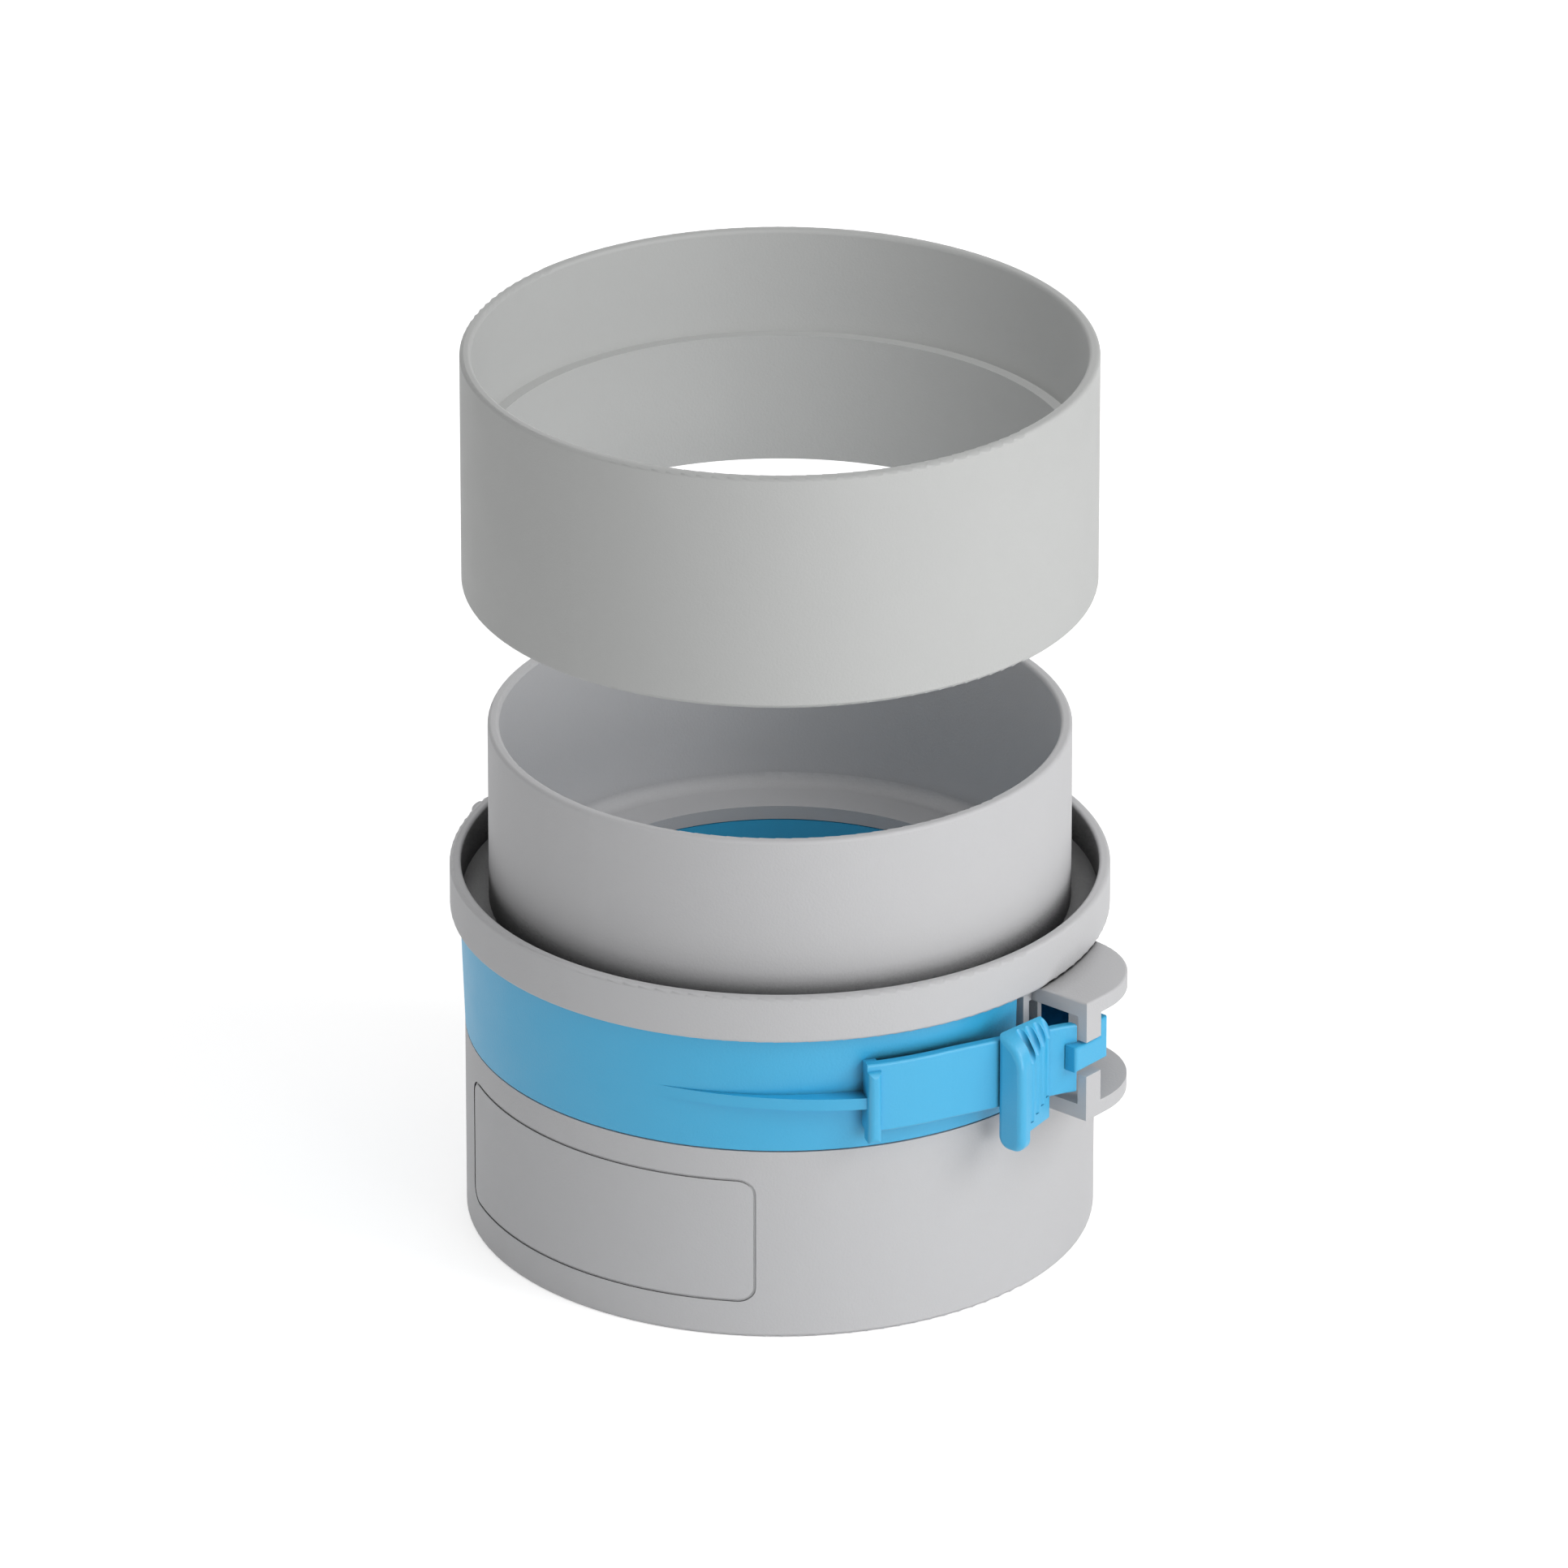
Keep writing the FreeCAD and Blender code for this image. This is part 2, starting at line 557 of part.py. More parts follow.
def make_tray_frame():
    """The tray's plate and inner wall, the band that closes the slot, and the front rib."""
    body = new_body("tray_frame")
    inner = "sizes.throat_radius"
    wall_out = f"({inner} + sizes.tray_wall)"
    turned(
        body,
        "plate",
        [
            (inner, tray_low),
            (plate_r, tray_low),
            (plate_r, plate_top),
            (wall_out, plate_top),
            (wall_out, tray_top),
            (inner, tray_top),
        ],
    )
    band_middle_r = f"({body_r} - sizes.band_wall / 2)"
    turned(
        body,
        "band",
        [
            (band_in_r, band_low),
            (body_r, band_low),
            (f"({body_r} + sizes.band_flare)", band_top),
            (band_in_r, band_top),
        ],
        "sizes.band_half_angle",
    )
    turned(
        body,
        "web",
        [
            (f"({plate_r} - sizes.tray_wall)", band_low),
            (band_middle_r, band_low),
            (band_middle_r, plate_top),
            (f"({plate_r} - sizes.tray_wall)", plate_top),
        ],
        "sizes.band_half_angle",
    )
    rib = [
        ("0", f"-{body_r}", "sizes.rib_radius"),
        corner(*polar(arm_out_r, "sizes.bar_angle")),
        (*polar(band_middle_r, "sizes.bar_angle"), f"-{band_middle_r}"),
        corner("0", f"-{band_middle_r}"),
    ]
    half = "sizes.rib_thickness / 2"
    block(body, "front_rib", f"(sizes.rib_middle - {half})", f"(sizes.rib_middle + {half})", rib)
    turned(
        body,
        "mesh_groove",
        [
            (f"({inner} - sizes.tray_wall)", mesh_floor),
            (mesh_seat_r, mesh_floor),
            (mesh_seat_r, f"{mesh_floor} + sizes.mesh_groove"),
            (f"({inner} - sizes.tray_wall)", f"{mesh_floor} + sizes.mesh_groove"),
        ],
        cut=True,
    )
    return body


def make_arm():
    """The latch arm: root bar, springy strap, and the neck with its prong."""
    body = new_body("latch_arm")
    half = f"(sizes.bar_width / 2 / {arm_out_r} * 180 / pi)"
    start = f"(sizes.bar_angle - {half})"
    finish = f"(sizes.bar_angle + {half})"
    strap_end = "(sizes.ear_front - sizes.post_gap)"
    strap = [
        (*polar(arm_out_r, start), arm_out_r),
        corner(*polar(arm_out_r, "sizes.bend_angle")),
        corner(jog_outside, "-sizes.jog_start"),
        corner(arm_end, strap_end),
        corner(f"{arm_end} - sizes.arm_wall", strap_end),
        corner(f"{jog_outside} - sizes.arm_wall", "-sizes.jog_start"),
        (*polar(arm_in_r, "sizes.bend_angle"), f"-{arm_in_r}"),
        corner(*polar(arm_in_r, start)),
    ]
    block(body, "strap", "sizes.arm_low", arm_high, strap)
    level_edge = value("sizes.arm_wall") / 2
    arm_face = value(arm_out_r)

    def outer_rim(edge):
        box = edge.BoundBox
        middle = edge.valueAt((edge.FirstParameter + edge.LastParameter) / 2)
        outside = math.hypot(middle.x, middle.y) > arm_face - level_edge
        return box.ZLength < level_edge and box.YLength > level_edge and outside

    soften(body, "soft_strap", "sizes.arm_round", outer_rim)

    band_middle_r = f"({body_r} - sizes.band_wall / 2)"
    arm_middle_r = f"({arm_in_r} + sizes.arm_wall / 2)"
    root = [
        corner(*polar(band_middle_r, start)),
        corner(*polar(arm_middle_r, start)),
        corner(*polar(arm_middle_r, finish)),
        corner(*polar(band_middle_r, finish)),
    ]
    block(body, "root", "sizes.arm_low", f"({arm_high} - sizes.arm_round)", root)

    tip_out = f"({ear_reach} - sizes.prong_inset)"
    tip_in = f"({tip_out} - sizes.arm_wall)"
    neck_end = "(sizes.ear_front + sizes.post_length + sizes.post_gap)"
    prong_end = f"({neck_end} + sizes.prong_length)"
    neck_front = "-sizes.neck_front"
    prong_high = f"({upper_ear_low} - sizes.prong_room)"
    shoulder = box_corners(f"{arm_end} - sizes.arm_wall / 2", tip_out, neck_front, strap_end)
    block(body, "neck_root", neck_low, neck_high, shoulder)
    block(body, "neck", neck_low, neck_high, box_corners(tip_in, tip_out, neck_front, neck_end))
    block(body, "prong", neck_low, prong_high, box_corners(tip_in, tip_out, neck_end, prong_end))
    inside = value(arm_end)

    def beside_posts(edge):
        box = edge.BoundBox
        lengths = sorted((box.XLength, box.YLength, box.ZLength))
        return box.XMin > inside and lengths[2] > level_edge

    soften(body, "soft_prong", "sizes.prong_round", beside_posts)
    return body


def make_root_bar():
    """The upright bar at the arm's root, with a rounded nose."""
    body = new_body("root_bar")
    half = f"(sizes.bar_width / 2 / {arm_out_r} * 180 / pi)"
    sides = (f"(sizes.bar_angle - {half})", f"(sizes.bar_angle + {half})")
    nose_r = f"({arm_out_r} + sizes.bar_stand)"
    bar = [
        corner(*polar(arm_in_r, sides[0])),
        corner(*polar(nose_r, sides[0])),
        corner(*polar(nose_r, sides[1])),
        corner(*polar(arm_in_r, sides[1])),
    ]
    block(body, "bar", bar_low, bar_high, bar)
    face = value(nose_r)
    reach = value("sizes.bar_stand")

    def nose_edge(edge):
        middle = edge.valueAt((edge.FirstParameter + edge.LastParameter) / 2)
        return math.hypot(middle.x, middle.y) > face - reach / 2

    soften(body, "nose", "sizes.bar_round", nose_edge)
    return body


def tab_section(body, name, behind, inside, outside, high, shoulder):
    """The finger tab's upright section at a distance behind its front."""
    width = f"({outside} - {inside})"
    curve = f"(({width} ^ 2 + ({high} - {shoulder}) ^ 2) / 2 / {width})"
    outline = [
        corner(inside, "sizes.tab_back_low"),
        corner(outside, "sizes.tab_back_low"),
        (outside, shoulder, curve),
        corner(inside, high),
    ]
    sketch = new_sketch(body, name, "XZ_Plane", outline)
    sketch.setExpression("AttachmentOffset.Base.z", f"sizes.tab_front - {behind}")
    return sketch


def make_tab():
    """The finger tab: thick in front, where its lip reaches down, and thin at the back."""
    body = new_body("plain_tab")
    front = tab_section(
        body,
        "tab_front_section",
        "0",
        tab_inside,
        tab_outside,
        "sizes.tab_high",
        "sizes.tab_shoulder",
    )
    back = tab_section(
        body,
        "tab_back_section",
        "sizes.tab_length",
        tab_back_inside,
        tab_back_outside,
        "sizes.tab_back_high",
        "sizes.tab_back_shoulder",
    )
    loft = body.newObject("PartDesign::AdditiveLoft", "tab_loft")
    loft.Profile = front
    loft.Sections = [back]
    loft.Ruled = True

    share = "(sizes.tab_lip / sizes.tab_length)"
    lip_end = "(sizes.tab_lip - sizes.tab_front)"
    lip_corners = (
        between(tab_inside, tab_back_inside, share),
        between(tab_outside, tab_back_outside, share),
    )
    lip = [
        corner(tab_inside, "-sizes.tab_front"),
        corner(tab_outside, "-sizes.tab_front"),
        corner(lip_corners[1], lip_end),
        corner(lip_corners[0], lip_end),
    ]
    block(body, "tab_lip", tab_low, "sizes.tab_back_low", lip)
    tip_z = value(tab_low)
    front_y = -value("sizes.tab_front")
    back_y = value("sizes.tab_length - sizes.tab_front")
    near = value("sizes.tab_back_round") / 4

    def tip_edge(edge):
        box = edge.BoundBox
        return box.ZMax < tip_z + near and box.YLength > near

    tip_r = f"(({lip_corners[1]} - {lip_corners[0]} - sizes.tip_flat) / 2)"
    soften(body, "soft_tip", tip_r, tip_edge)

    def front_outline(edge):
        box = edge.BoundBox
        return box.YMax < front_y + near and box.XMax > value(tab_inside) + near

    soften(body, "soft_front", "sizes.tab_round", front_outline)

    def back_outline(edge):
        box = edge.BoundBox
        return box.YMin > back_y - near and box.XMax > value(tab_back_inside) + near

    soften(body, "soft_back", "sizes.tab_back_round", back_outline)
    return body


def make_flutes():
    """Rods that cut the flutes, an upright one for the tab's face and a leaning one above it."""
    rods = []
    for number in range(int(value("sizes.flute_count"))):
        behind = f"(sizes.flute_start + {number} * sizes.flute_pitch)"
        share = f"({behind} / sizes.tab_length)"
        face = between(tab_outside, tab_back_outside, share)
        level = between("sizes.tab_shoulder", "sizes.tab_back_shoulder", share)
        lean = between("sizes.flute_lean", "sizes.flute_back_lean", share)
        for name, tilt, depth in (
            ("upright", "0", "sizes.flute_depth"),
            ("leaning", lean, "sizes.flute_shoulder_depth"),
        ):
            rod = doc.addObject("Part::Cylinder", f"{name}_flute_{number}")
            rod.setExpression("Radius", "sizes.flute_radius")
            rod.setExpression("Height", "sizes.flute_length")
            rod.Placement.Rotation = FreeCAD.Rotation(FreeCAD.Vector(0, -1, 0), value(tilt) + 1)
            half = "sizes.flute_length / 2"
            outwards = f"{face} + sizes.flute_radius - {depth}"
            rod.setExpression("Placement.Rotation.Angle", tilt)
            rod.setExpression("Placement.Base.x", f"{outwards} + {half} * sin({tilt} * 1deg)")
            rod.setExpression("Placement.Base.y", f"{behind} - sizes.tab_front")
            rod.setExpression("Placement.Base.z", f"{level} - {half} * cos({tilt} * 1deg)")
            rods.append(rod)
    flutes = doc.addObject("Part::MultiFuse", "flutes")
    flutes.Shapes = rods
    return flutes


def between(first, last, share):
    return f"({first} + ({last} - {first}) * {share})"


def make_tray():
    tab = doc.addObject("Part::Cut", "finger_tab")
    tab.Base = make_tab()
    tab.Tool = make_flutes()
    tray = doc.addObject("Part::MultiFuse", "screen_tray")
    tray.Shapes = [make_tray_frame(), make_arm(), make_root_bar(), tab, make_knuckle()]
    tray.Refine = True
    return tray


def make_wires(name, low, high, across):
    """One set of parallel mesh bars, trimmed to the disc."""
    body = new_body(name)
    count = "(2 * floor(sizes.throat_radius / sizes.mesh_pitch) + 1)"
    first = f"(-({count} - 1) / 2 * sizes.mesh_pitch)"
    ends = (f"-{mesh_r}", mesh_r)
    sides = (f"{first} - sizes.mesh_bar / 2", f"{first} + sizes.mesh_bar / 2")
    spans = (*ends, *sides) if across else (*sides, *ends)
    bar = block(body, name + "_bar", low, high, box_corners(*spans))
    axis = "Y_Axis" if across else "X_Axis"
    row_of(body, name + "_bars", bar, axis, count, "sizes.mesh_pitch")
    outside = f"(2 * {mesh_r})"
    ring = [(mesh_r, low), (outside, low), (outside, high), (mesh_r, high)]
    turned(body, name + "_trim", ring, cut=True)
    return body


def make_mesh():
    """The woven disc as two sets of crossing bars in a rim, which sits in the tray's groove."""
    low = f"({mesh_floor} + sizes.mesh_room)"
    high = f"({low} + sizes.mesh_sheet)"
    rim = new_body("mesh_rim")
    inner = "sizes.throat_radius"
    turned(rim, "rim", [(inner, low), (mesh_r, low), (mesh_r, high), (inner, high)])
    mesh = doc.addObject("Part::MultiFuse", "screen_mesh")
    mesh.Shapes = [rim, make_wires("weft", low, high, True), make_wires("warp", low, high, False)]
    mesh.Refine = True
    return mesh


def make_ring():
    """The loose sleeve: its lower bore goes over the spigot, its upper bore takes a pipe."""
    body = new_body("adapter_ring")
    lower_r = f"({spigot_r} + sizes.ring_fit)"
    soft = "sizes.rim_round"
    turned(
        body,
        "sleeve",
        [
            (lower_r, "0"),
            (body_r, "0", soft),
            (body_r, "sizes.ring_height", soft),
            (socket_r, "sizes.ring_height", soft),
            (socket_r, "sizes.ring_ledge"),
            (lower_r, "sizes.ring_ledge"),
        ],
    )
    body.setExpression("Placement.Base.z", f"{trough_low} + sizes.ring_lift")
    return body


def check(parts):
    """Stops on any object that did not build, and on a part that is not one valid solid."""
    for item in doc.Objects:
        if "Invalid" in item.State or "Error" in item.State:
            raise RuntimeError(f"{item.Name} did not build: {item.State}")
    for part in parts:
        if part.Shape.isNull() or not part.Shape.isValid() or len(part.Shape.Solids) != 1:
            raise RuntimeError(f"{part.Label} is not one valid solid")


def main():
    parts = (make_housing(), make_tray(), make_mesh(), make_ring())
    doc.recompute()
    check(parts)
    os.makedirs("parts", exist_ok=True)
    for part in parts:
        part.Shape.exportStep(f"parts/{part.Label}.step")
        print(part.Label, round(part.Shape.Volume), part.Shape.BoundBox)


main()
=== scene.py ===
# %% [markdown]
# # A mosquito screen for a rainwater downpipe
# The object is three plastic mouldings and a disc of woven wire. A grey housing stands on a
# 110 mm pipe, a blue tray with the wire swings into its front on a hinge at the left and snaps
# shut at the right, and a loose grey ring waits above the spigot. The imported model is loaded
# first, and every later piece is placed against it.

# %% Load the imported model
import math

import bmesh
import bpy
from mathutils import Matrix, Vector


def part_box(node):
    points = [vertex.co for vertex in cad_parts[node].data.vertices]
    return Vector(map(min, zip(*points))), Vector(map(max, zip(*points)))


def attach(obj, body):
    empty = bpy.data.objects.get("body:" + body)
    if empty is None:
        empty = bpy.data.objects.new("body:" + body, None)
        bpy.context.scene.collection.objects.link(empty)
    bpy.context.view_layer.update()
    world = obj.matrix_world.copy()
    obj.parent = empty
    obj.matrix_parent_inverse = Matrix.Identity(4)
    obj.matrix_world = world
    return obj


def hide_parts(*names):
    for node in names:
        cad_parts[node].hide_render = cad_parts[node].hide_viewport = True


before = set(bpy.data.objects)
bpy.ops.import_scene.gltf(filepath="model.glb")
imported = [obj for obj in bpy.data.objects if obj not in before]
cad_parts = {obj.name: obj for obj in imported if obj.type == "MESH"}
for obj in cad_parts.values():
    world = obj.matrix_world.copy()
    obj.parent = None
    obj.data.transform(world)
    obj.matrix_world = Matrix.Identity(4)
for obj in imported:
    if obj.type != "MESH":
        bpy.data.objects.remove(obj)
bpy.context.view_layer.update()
MM = 0.001
print("nodes:", sorted(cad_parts))

# %% [markdown]
# ## The camera
# The object was shot from far away with a long lens, so its circles stay almost true ellipses.
# A camera nearly three metres away with a 370 mm lens does the same. It looks down at 25 degrees
# and stands to the right of the front, so that the right latch faces it. Its place is given by
# two angles and a distance from the point that it looks at, which is easier to fit to a picture
# than three coordinates are.


# %% Camera
def direction(side, up):
    """The way that points out at an angle round the object and an angle above the floor."""
    side, up = math.radians(side), math.radians(up)
    level = math.cos(up)
    return Vector((math.sin(side) * level, -math.cos(side) * level, math.sin(up)))


CAMERA_SIDE = 40
CAMERA_UP = 24.8
CAMERA_DISTANCE = 2.92
AIM = Vector((0.00056, 0.00047, 0.0834))
towards_camera = direction(CAMERA_SIDE, CAMERA_UP)
camera_data = bpy.data.cameras.new("camera")
camera_data.lens = 370
camera_data.clip_end = 20
camera = bpy.data.objects.new("camera", camera_data)
camera.location = AIM + towards_camera * CAMERA_DISTANCE
camera.rotation_mode = "QUATERNION"
camera.rotation_quaternion = (-towards_camera).to_track_quat("-Z", "Y")
bpy.context.scene.collection.objects.link(camera)
bpy.context.scene.camera = camera
bpy.context.scene.view_settings.view_transform = "Standard"
print("camera at", [round(v, 2) for v in camera.location])

# %% [markdown]
# ## Soft lamps
# Matt plastic shows its form by slow changes of light, so the lamps are large and near. The key
# lamp stands high at the right and shines into the open tubes. The front lamp stands low beside
# the camera and puts a soft sheen on the blue band. The top lamp lights the rims, and a faint one
# keeps the left side from going flat. The back lamp stands behind the object, where it lights
# only what the camera's view hides, so that the back looks right when the object is turned.

# %% Lamps
LAMP_AIM = Vector((0, 0, 0.09))
LAMP_DISTANCE = 0.9


def soft_lamp(name, side, up, width, power):
    """A square lamp that faces the object from an angle round it and an angle above it."""
    data = bpy.data.lights.new(name, "AREA")
    data.size = width
    data.energy = power
    lamp = bpy.data.objects.new(name, data)
    outwards = direction(side, up)
    lamp.location = LAMP_AIM + outwards * LAMP_DISTANCE
    lamp.rotation_mode = "QUATERNION"
    lamp.rotation_quaternion = outwards.to_track_quat("Z", "Y")
    lamp.visible_camera = False
    bpy.context.scene.collection.objects.link(lamp)
    return lamp


key = soft_lamp("key", 104, 32, 0.45, 2.85)
front = soft_lamp("front", 74, 2, 0.34, 2.1)
top = soft_lamp("top", 50, 58, 0.5, 0.6)
left = soft_lamp("left", -50, 4, 0.3, 0.08)
back = soft_lamp("back", 220, 8, 0.5, 1.4)
lamps = (key, front, top, left, back)
print("lamps and watts:", {lamp.name: round(lamp.data.energy, 2) for lamp in lamps})

# %% [markdown]
# ## The world
# The world fills the shadows with an even grey. Rays that come straight from the camera, from a
# reflection or through glass see it as plain white, so the background is white without more
# light on the object. The Light Path node tells such rays apart, and its outputs are joined by
# taking the largest.


# %% World
def direct_rays(add, link):
    """One where a ray comes from the camera, a reflection or glass, and zero elsewhere."""
    path = add("ShaderNodeLightPath")
    found = path.outputs["Is Camera Ray"]
    for kind in ("Is Glossy Ray", "Is Transmission Ray"):
        either = add("ShaderNodeMath")
        either.operation = "MAXIMUM"
        link(found, either.inputs[0])
        link(path.outputs[kind], either.inputs[1])
        found = either.outputs[0]
    return found


WORLD_LEVEL = 0.57
world = bpy.data.worlds.new("studio")
world.use_nodes = True
bpy.context.scene.world = world
world.node_tree.nodes.clear()
add, link = world.node_tree.nodes.new, world.node_tree.links.new
strength = add("ShaderNodeMapRange")
strength.inputs["To Min"].default_value = WORLD_LEVEL
strength.inputs["To Max"].default_value = 1
link(direct_rays(add, link), strength.inputs["Value"])
sky = add("ShaderNodeBackground")
link(strength.outputs["Result"], sky.inputs["Strength"])
output = add("ShaderNodeOutputWorld")
link(sky.outputs[0], output.inputs["Surface"])
print("world fill", WORLD_LEVEL)

# %% [markdown]
# ## The floor
# The floor is a wide pale disc, far larger than the view, so that its edge is never seen. It is
# staging and no part of the object.

# %% Floor disc
FLOOR_RADIUS = 6
floor_mesh = bmesh.new()
bmesh.ops.create_circle(floor_mesh, cap_ends=True, radius=FLOOR_RADIUS, segments=64)
floor_data = bpy.data.meshes.new("floor")
floor_mesh.to_mesh(floor_data)
floor_mesh.free()
floor = bpy.data.objects.new("floor", floor_data)
bpy.context.scene.collection.objects.link(floor)
print("floor radius in metres:", FLOOR_RADIUS)

# %% [markdown]
# ## The floor's paper
# White studio paper spreads all light evenly, so it is a plain diffuse shader. A little extra
# white that only the camera, reflections and glass see lifts it to the background, and the
# object's soft shadow stays. Seen from underneath the paper is clear, so that the housing can
# also be looked at from below.


# %% Floor paper
def new_material(name):
    """An empty node material, and the functions that add and link its nodes."""
    made = bpy.data.materials.new(name)
    made.use_nodes = True
    made.node_tree.nodes.clear()
    return made, made.node_tree.nodes.new, made.node_tree.links.new


FLOOR_COLOUR = (0.9, 0.9, 0.9, 1)
FLOOR_LIFT = 0.52
paper, add, link = new_material("floor_paper")
paint = add("ShaderNodeBsdfDiffuse")
paint.inputs["Color"].default_value = FLOOR_COLOUR
lift = add("ShaderNodeMath")
lift.operation = "MULTIPLY"
lift.inputs[1].default_value = FLOOR_LIFT
link(direct_rays(add, link), lift.inputs[0])
glow = add("ShaderNodeEmission")
link(lift.outputs[0], glow.inputs["Strength"])
both = add("ShaderNodeAddShader")
link(paint.outputs[0], both.inputs[0])
link(glow.outputs[0], both.inputs[1])
side = add("ShaderNodeNewGeometry")
clear = add("ShaderNodeBsdfTransparent")
choice = add("ShaderNodeMixShader")
link(side.outputs["Backfacing"], choice.inputs["Fac"])
link(both.outputs[0], choice.inputs[1])
link(clear.outputs[0], choice.inputs[2])
end = add("ShaderNodeOutputMaterial")
link(choice.outputs[0], end.inputs["Surface"])
floor_data.materials.append(paper)
print("floor lift:", FLOOR_LIFT)

# %% [markdown]
# ## How the plastic varies
# The mouldings are solid coloured plastic from an etched steel mould. From a step away the colour
# drifts a little where the melt flowed, and close up the gloss changes from spot to spot. A noise
# texture can drive both. All patterns read object coordinates, so they stay on a piece as it
# moves. The first helper mixes two near colours, and the second moves one value up and down.


# %% Noise helpers
def noise(add, link, scale, detail):
    """A noise pattern in object coordinates. Gives the socket that runs from zero to one."""
    place = add("ShaderNodeTexCoord")
    pattern = add("ShaderNodeTexNoise")
    pattern.inputs["Scale"].default_value = scale
    pattern.inputs["Detail"].default_value = detail
    link(place.outputs["Object"], pattern.inputs["Vector"])
    return pattern.outputs["Fac"]


def two_tones(add, link, pattern, first, second):
    """Mixes two linear colours by a pattern and gives the mixed colour's socket."""
    mix = add("ShaderNodeMix")
    mix.data_type = "RGBA"
    mix.inputs["A"].default_value = (*first, 1)
    mix.inputs["B"].default_value = (*second, 1)
    link(pattern, mix.inputs["Factor"])
    return mix.outputs["Result"]


def drive(add, link, pattern, low, high, target):
    """Moves one value of a shader between two levels by a pattern."""
    spread = add("ShaderNodeMapRange")
    spread.inputs["To Min"].default_value = low
    spread.inputs["To Max"].default_value = high
    link(pattern, spread.inputs["Value"])
    link(spread.outputs["Result"], target)


def emboss(add, link, pattern, height, strength, shader):
    """Bumps a shader's surface by a pattern. The height is in metres."""
    bump = add("ShaderNodeBump")
    bump.inputs["Distance"].default_value = height
    bump.inputs["Strength"].default_value = strength
    link(pattern, bump.inputs["Height"])
    link(bump.outputs["Normal"], shader.inputs["Normal"])


print("helpers:", [tool.__name__ for tool in (noise, two_tones, drive, emboss)])

# %% [markdown]
# ## Shade in narrow gaps
# Little light reaches the foot of a narrow gap such as the trough round the spigot. The render
# finds most of that shade by itself, but light that bounces between pale walls keeps the gap
# paler than it looks in life. An Ambient Occlusion node measures how much of the view near a
# point is open, and the colour goes dark where the piece itself closes most of it.

# %% Gap shade
GAP_WIDTH = 9 * MM
GAP_CLOSED = 0.25
GAP_OPEN = 0.5


def shade_gaps(add, link, colour):
    """Turns a colour black inside the piece's own narrow gaps and gives the new socket."""
    gap = add("ShaderNodeAmbientOcclusion")
    gap.samples = 4
    gap.only_local = True
    gap.inputs["Distance"].default_value = GAP_WIDTH
    openness = add("ShaderNodeMapRange")
    openness.inputs["From Min"].default_value = GAP_CLOSED
    openness.inputs["From Max"].default_value = GAP_OPEN
    link(gap.outputs["AO"], openness.inputs["Value"])
    skin = add("ShaderNodeMix")
    skin.data_type = "RGBA"
    skin.inputs["A"].default_value = (0, 0, 0, 1)
    link(openness.outputs["Result"], skin.inputs["Factor"])
    link(colour, skin.inputs["B"])
    return skin.outputs["Result"]


print("gap width in mm:", GAP_WIDTH / MM)

# %% [markdown]
# ## Moulded plastic
# One recipe serves the three mouldings: a wide drift of colour, a finer change of gloss, and a
# very fine grain as a bump, because it is far too small for geometry. The ring has no narrow gap,
# so it goes without the gap shade.

# %% Plastic material
FLOW_SCALE = 18
SHEEN_SCALE = 140
GRAIN_SCALE = 2200
GRAIN_HEIGHT = 0.12 * MM


def moulded_plastic(name, colour, drift, roughness, gloss, has_gaps):
    """Satin plastic: colour and drift are near linear colours, gloss is the refraction index."""
    plastic, add, link = new_material(name)
    shader = add("ShaderNodeBsdfPrincipled")
    shader.inputs["IOR"].default_value = gloss
    skin = two_tones(add, link, noise(add, link, FLOW_SCALE, 3), colour, drift)
    if has_gaps:
        skin = shade_gaps(add, link, skin)
    link(skin, shader.inputs["Base Color"])
    sheen = noise(add, link, SHEEN_SCALE, 4)
    drive(add, link, sheen, roughness - 0.05, roughness + 0.07, shader.inputs["Roughness"])
    emboss(add, link, noise(add, link, GRAIN_SCALE, 2), GRAIN_HEIGHT, 0.35, shader)
    end = add("ShaderNodeOutputMaterial")
    link(shader.outputs[0], end.inputs["Surface"])
    print("made", name)
    return plastic


grey_plastic = moulded_plastic(
    "grey_plastic", (0.52, 0.52, 0.53), (0.56, 0.56, 0.57), 0.56, 1.42, True
)
ring_plastic = moulded_plastic(
    "ring_plastic", (0.47, 0.476, 0.47), (0.51, 0.516, 0.51), 0.56, 1.42, False
)
blue_plastic = moulded_plastic(
    "blue_plastic", (0.02, 0.4, 0.7), (0.03, 0.42, 0.72), 0.42, 1.75, True
)

# %% [markdown]
# ## Dressing the mouldings
# The shapes of the housing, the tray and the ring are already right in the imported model. So their
# objects stay as they are, and only their material slots change.

# %% Dress the mouldings
for node, plastic in (
    ("housing", grey_plastic),
    ("adapter_ring", ring_plastic),
    ("screen_tray", blue_plastic),
):
    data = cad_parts[node].data
    data.materials.clear()
    data.materials.append(plastic)
    print(node, "wears", plastic.name)

# %% [markdown]
# ## One wire of the screen
# The screen is a plain weave of stainless wire: each wire runs over one crossing wire and under
# the next. One straight wire is a thin cylinder that is divided along its length, and a cosine
# lifts its rings of points. Six sides are enough for a wire that is a quarter of a millimetre
# thick.

# %% One wire
WIRE_RADIUS = 0.14 * MM
WIRE_PITCH = 1.24 * MM
MESH_RADIUS = 42.3 * MM
RINGS_PER_PITCH = 3


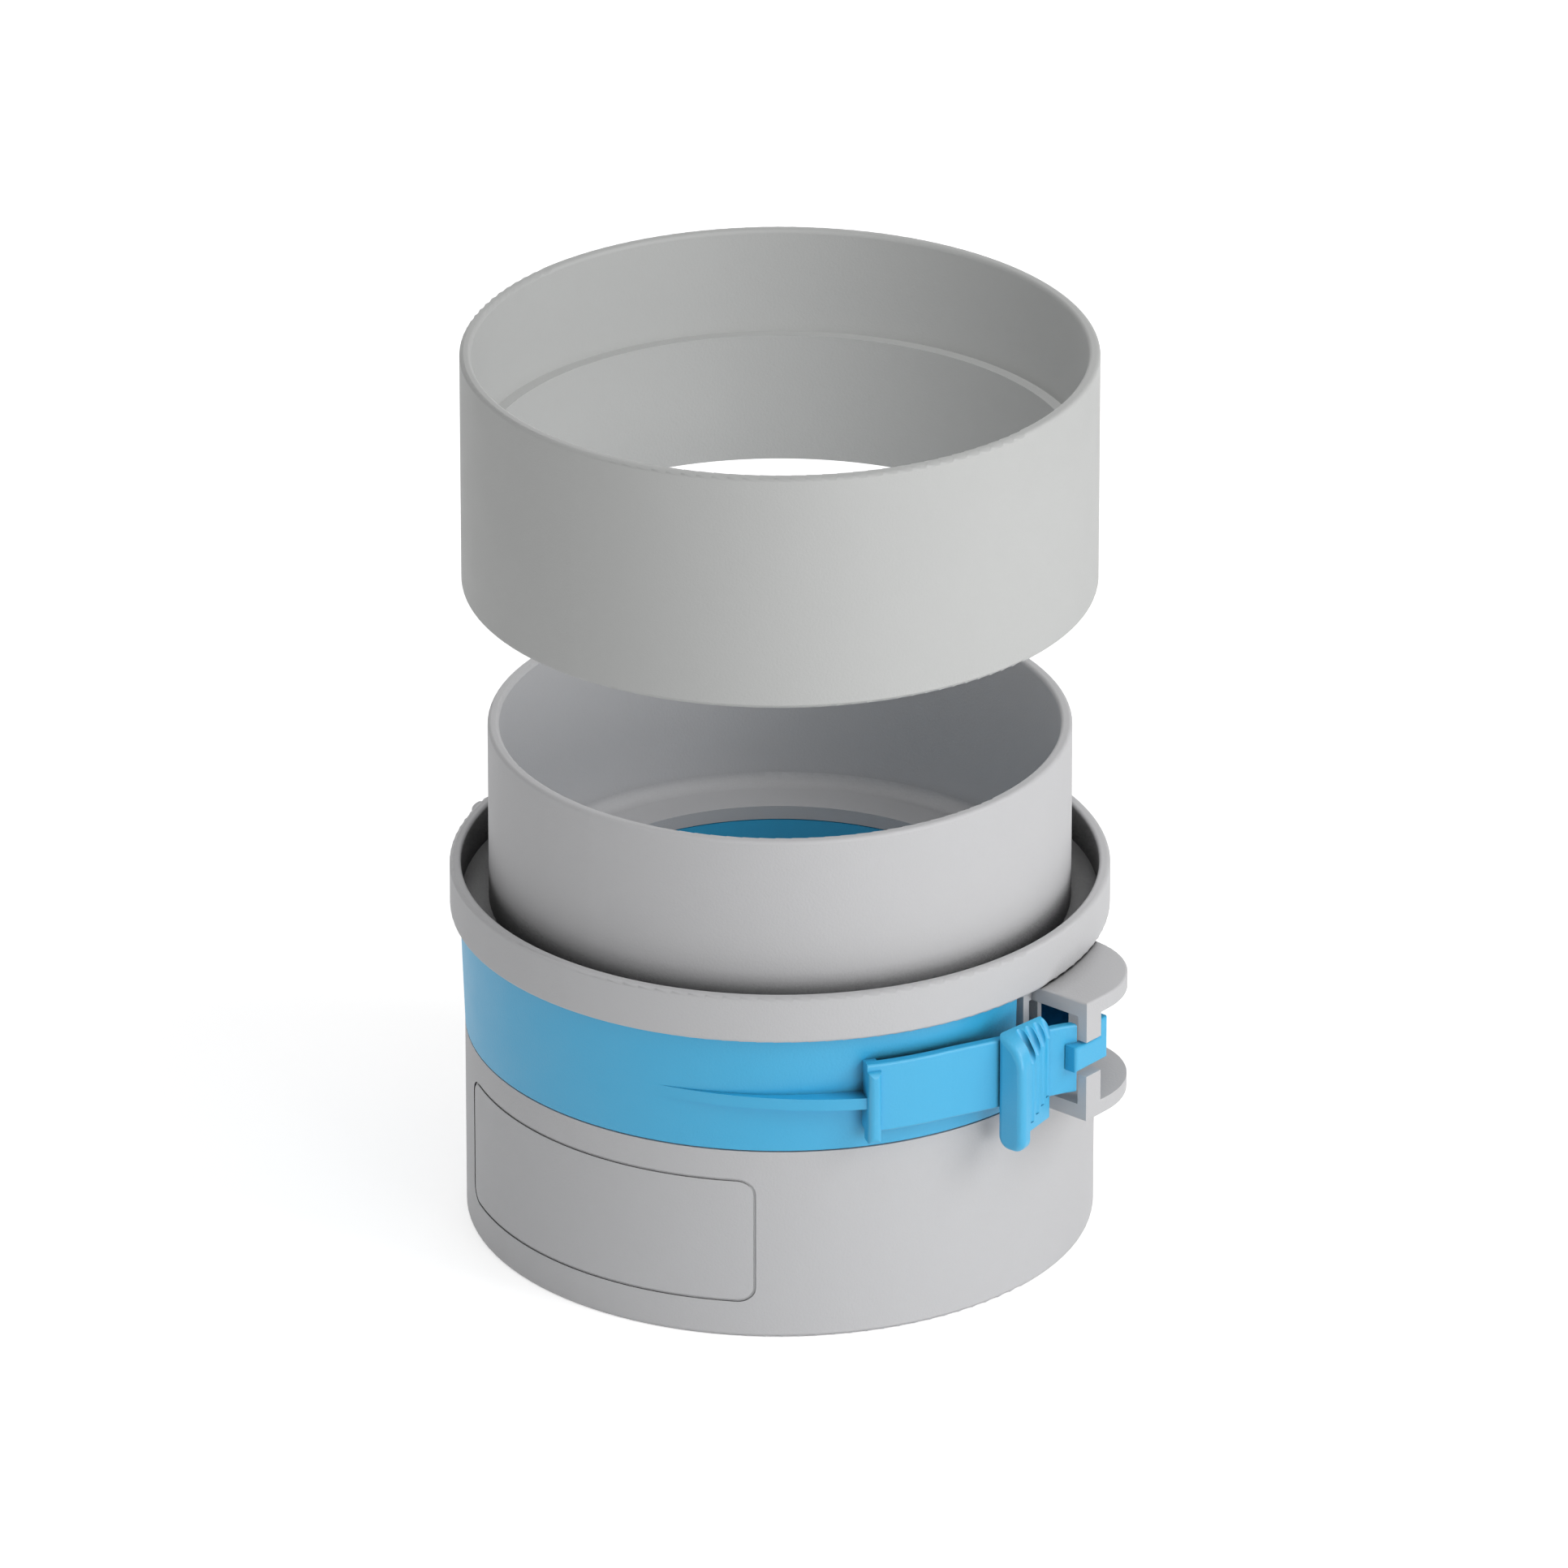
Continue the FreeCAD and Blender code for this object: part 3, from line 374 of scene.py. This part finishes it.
def one_wire(offset, side):
    """A wire along X at an offset from the middle. The side says if it starts over or under."""
    half = math.sqrt(MESH_RADIUS**2 - offset**2)
    wire = bmesh.new()
    bmesh.ops.create_cone(
        wire,
        cap_ends=True,
        segments=6,
        radius1=WIRE_RADIUS,
        radius2=WIRE_RADIUS,
        depth=2 * half,
        matrix=Matrix.Rotation(math.radians(90), 4, "Y"),
    )
    lengthwise = [e for e in wire.edges if e.calc_length() > half]
    cuts = max(1, int(2 * half / WIRE_PITCH * RINGS_PER_PITCH))
    bmesh.ops.subdivide_edges(wire, edges=lengthwise, cuts=cuts)
    for point in wire.verts:
        point.co.z += side * math.cos(math.pi * point.co.x / WIRE_PITCH) * WIRE_RADIUS
        point.co.y += offset
    return wire


print("opening in mm:", round((WIRE_PITCH - 2 * WIRE_RADIUS) / MM, 2))

# %% [markdown]
# ## The two rows of wires
# Each wire of a row starts on the other side of the weave than its neighbour does, and the second
# row is the first one turned by a quarter. The two rows replace the disc of crossing bars that
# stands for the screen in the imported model, at the same height, and swing with the tray.

# %% Weave
mesh_low, mesh_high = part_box("screen_mesh")
mesh_level = (mesh_low.z + mesh_high.z) / 2


def wire_row(name, along_x):
    """All the wires that run one way, each as long as the disc allows at its place."""
    made = bmesh.new()
    data = bpy.data.meshes.new(name)
    count = int(MESH_RADIUS / WIRE_PITCH)
    for step in range(-count, count + 1):
        wire = one_wire(step * WIRE_PITCH, 1 if (step % 2 == 0) == along_x else -1)
        wire.to_mesh(data)
        wire.free()
        made.from_mesh(data)
    turn = Matrix.Rotation(math.radians(0 if along_x else 90), 4, "Z")
    place = Matrix.Translation((0, 0, mesh_level)) @ turn
    bmesh.ops.transform(made, matrix=place, verts=made.verts)
    bmesh.ops.recalc_face_normals(made, faces=made.faces)
    for face in made.faces:
        face.smooth = True
    made.to_mesh(data)
    made.free()
    piece = bpy.data.objects.new(name, data)
    bpy.context.scene.collection.objects.link(piece)
    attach(piece, "tray")
    print(name, "faces:", len(data.polygons))
    return piece


weft = wire_row("mesh_weft", True)
warp = wire_row("mesh_warp", False)
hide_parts("screen_mesh")

# %% [markdown]
# ## Drawn wire
# Stainless wire is a metal with fine lines along it from the die. The two rows share one metal.
# One fine noise changes its tone, its roughness and its surface together, so that single wires
# glint.

# %% Wire material
WIRE_GRAIN = 0.02 * MM
wire_metal, add, link = new_material("drawn_wire")
shader = add("ShaderNodeBsdfPrincipled")
shader.inputs["Metallic"].default_value = 1
tone = noise(add, link, 900, 2)
tint = two_tones(add, link, tone, (0.5, 0.5, 0.51), (0.66, 0.66, 0.67))
link(tint, shader.inputs["Base Color"])
drive(add, link, tone, 0.24, 0.42, shader.inputs["Roughness"])
emboss(add, link, tone, WIRE_GRAIN, 0.3, shader)
end = add("ShaderNodeOutputMaterial")
link(shader.outputs[0], end.inputs["Surface"])
for row in (weft, warp):
    row.data.materials.append(wire_metal)
print("made", wire_metal.name)

# %% [markdown]
# ## The ring's shadow
# The ring was photographed by itself and only hangs over the housing in the picture. So nothing
# lies in its shadow there. Light linking gives the same: every lamp is blocked by the listed
# objects only, and the ring isn't one of them.

# %% Light linking
blockers = bpy.data.collections.new("blockers")
for item in (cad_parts["housing"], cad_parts["screen_tray"], weft, warp, floor):
    blockers.objects.link(item)
for lamp in lamps:
    lamp.light_linking.blocker_collection = blockers
